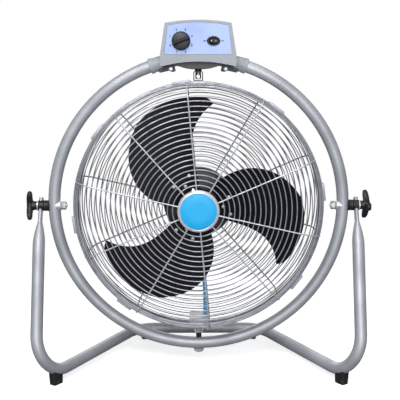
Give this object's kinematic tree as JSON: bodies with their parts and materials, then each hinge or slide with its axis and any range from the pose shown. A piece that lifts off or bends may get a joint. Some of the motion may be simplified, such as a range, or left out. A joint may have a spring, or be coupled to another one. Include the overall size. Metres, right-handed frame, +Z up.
{
  "type": "ring-frame floor fan",
  "caption": "Wire-caged floor fan that swings inside a tube ring, tilting on a bent-tube stand, with a control box on top.",
  "frame": {"origin": "on the floor, under the middle of the fan's outline", "axes": "+Z up, the fan blows towards -Y, +X to the right seen from the front"},
  "size_m": [0.7254, 0.3118, 0.7328],
  "materials": {
    "badge_blue": "smooth cyan",
    "badge_silver": "silver lacquer",
    "black_plastic": "fine grained black",
    "blade_black": "gloss black paint on sheet aluminium",
    "copper": "varnished windings on a steel core",
    "dark_plastic": "dark grey",
    "grey_plastic": "fine grained grey",
    "lead_blue": "blue sleeve",
    "motor_grey": "painted die casting",
    "panel_blue": "smooth light blue",
    "rubber": "matt black",
    "silver_paint": "satin silver paint",
    "steel": "ground steel",
    "wire_silver": "bright silver coated wire",
    "zinc": "zinc plated"
  },
  "bodies": {
    "stand": {"stand_tube": "silver_paint", "front_foot_left": "rubber", "rear_foot_left": "rubber", "outer_bush_left": "black_plastic", "knob_washer_left": "zinc", "front_foot_right": "rubber", "rear_foot_right": "rubber", "outer_bush_right": "black_plastic", "knob_washer_right": "zinc"},
    "knob_left": {"clamp_knob_left": "black_plastic", "clamp_stud_left": "zinc"},
    "knob_right": {"clamp_knob_right": "black_plastic", "clamp_stud_right": "zinc"},
    "speed_dial": {"speed_knob": "black_plastic"},
    "rocker_key": {"rocker": "black_plastic"},
    "head": {"rim_band": "silver_paint", "front_guard": "wire_silver", "rear_guard": "wire_silver", "badge_rim": "badge_silver", "badge_disc": "badge_blue", "top_strap": "silver_paint", "bottom_strap": "silver_paint", "top_bracket": "zinc", "bottom_bracket": "zinc", "swing_shaft": "zinc", "shaft_coupling": "dark_plastic", "motor_lead": "lead_blue", "motor_front_shell": "motor_grey", "motor_rear_shell": "motor_grey", "stator": "copper", "front_bearing": "steel", "rear_bearing": "steel"},
    "rotor": {"rotor_shaft": "steel", "hub_spider": "blade_black", "hub_nut": "zinc", "blade_1": "blade_black", "blade_2": "blade_black", "blade_3": "blade_black"},
    "ring": {"inner_bush_left": "black_plastic", "saddle_washer_left": "zinc", "stud_nut_left": "zinc", "box_clamp_left": "dark_plastic", "inner_bush_right": "black_plastic", "saddle_washer_right": "zinc", "stud_nut_right": "zinc", "box_clamp_right": "dark_plastic", "ring_tube": "silver_paint", "box_front_shell": "grey_plastic", "box_rear_shell": "grey_plastic", "control_panel": "panel_blue", "bottom_cover": "dark_plastic", "top_bush": "black_plastic", "speed_switch": "dark_plastic", "rocker_frame": "black_plastic", "swing_motor": "zinc", "run_capacitor": "dark_plastic", "bottom_bolt": "zinc", "bottom_nut": "zinc", "bottom_spacer": "black_plastic"}
  },
  "joints": [
    {"name": "tilt", "type": "hinge", "parent": "stand", "child": "ring", "pos_m": [0, -0.01986, 0.355], "axis": [-1, 0, 0], "range_deg": [-30, 90]},
    {"name": "knob_left_turn", "type": "hinge", "parent": "ring", "child": "knob_left", "pos_m": [-0.35, -0.01986, 0.355], "axis": [-1, 0, 0], "range_deg": [-360, 0]},
    {"name": "knob_right_turn", "type": "hinge", "parent": "ring", "child": "knob_right", "pos_m": [0.35, -0.01986, 0.355], "axis": [1, 0, 0], "range_deg": [-360, 0]},
    {"name": "swing", "type": "hinge", "parent": "ring", "child": "head", "pos_m": [0, -0.01986, 0.355], "axis": [0, 0, 1], "range_deg": [-40, 40]},
    {"name": "rotor_spin", "type": "hinge", "parent": "head", "child": "rotor", "pos_m": [0, -0.04486, 0.355], "axis": [0, 1, 0], "continuous": true},
    {"name": "speed_turn", "type": "hinge", "parent": "ring", "child": "speed_dial", "pos_m": [-0.034, -0.05986, 0.692], "axis": [0, 1, 0], "range_deg": [0, 315]},
    {"name": "rocker_tip", "type": "hinge", "parent": "ring", "child": "rocker_key", "pos_m": [0.0305, -0.05836, 0.692], "axis": [0, 0, 1], "range_deg": [-16, 0]}
  ]
}
